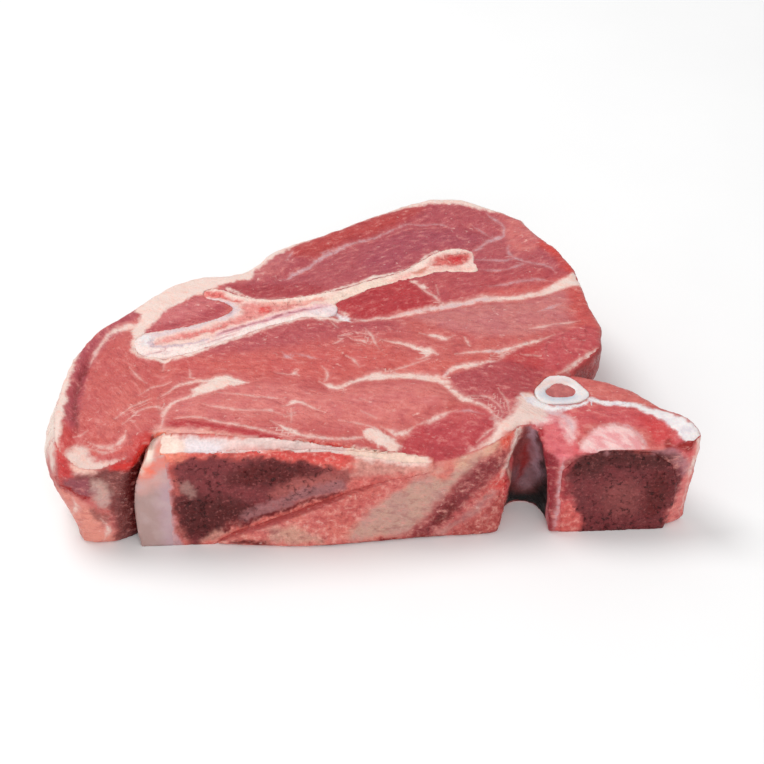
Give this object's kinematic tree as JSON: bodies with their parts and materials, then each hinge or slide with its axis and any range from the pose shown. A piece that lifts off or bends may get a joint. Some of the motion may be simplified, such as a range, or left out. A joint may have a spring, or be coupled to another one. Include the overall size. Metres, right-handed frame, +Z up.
{
  "type": "raw veal shoulder slice",
  "caption": "Thick bone-in slice of raw veal shoulder, lying flat, with cut blade bone, sawn backbone and rib end, fat rim and seams between the muscles.",
  "frame": {"origin": "on the lower cut face, the surface that the slice lies on, below the middle of the slice", "axes": "+Z up from the lower cut face to the upper one, +X along the sawn backbone face towards the rib and the vertebra's body, +Y from that face towards the outer fat side"},
  "size_m": [0.2322, 0.167, 0.0424],
  "materials": {
    "veal": "moist raw muscle with pale fat rim and seams",
    "cut_bone": "cut blade bone, ivory rim and salmon inside",
    "sawn_bone": "sawn spongy bone, dark red and porous",
    "cartilage": "moist grey-white cartilage",
    "rib": "cut rib wall, blue-white",
    "marrow": "soft red marrow"
  },
  "bodies": {
    "root": {"veal": "veal", "blade_bone": "cut_bone", "spine_bone": "sawn_bone", "cartilage_tip": "cartilage", "vertebra_body": "sawn_bone", "rib_bone": "rib", "rib_marrow": "marrow"}
  },
  "joints": []
}
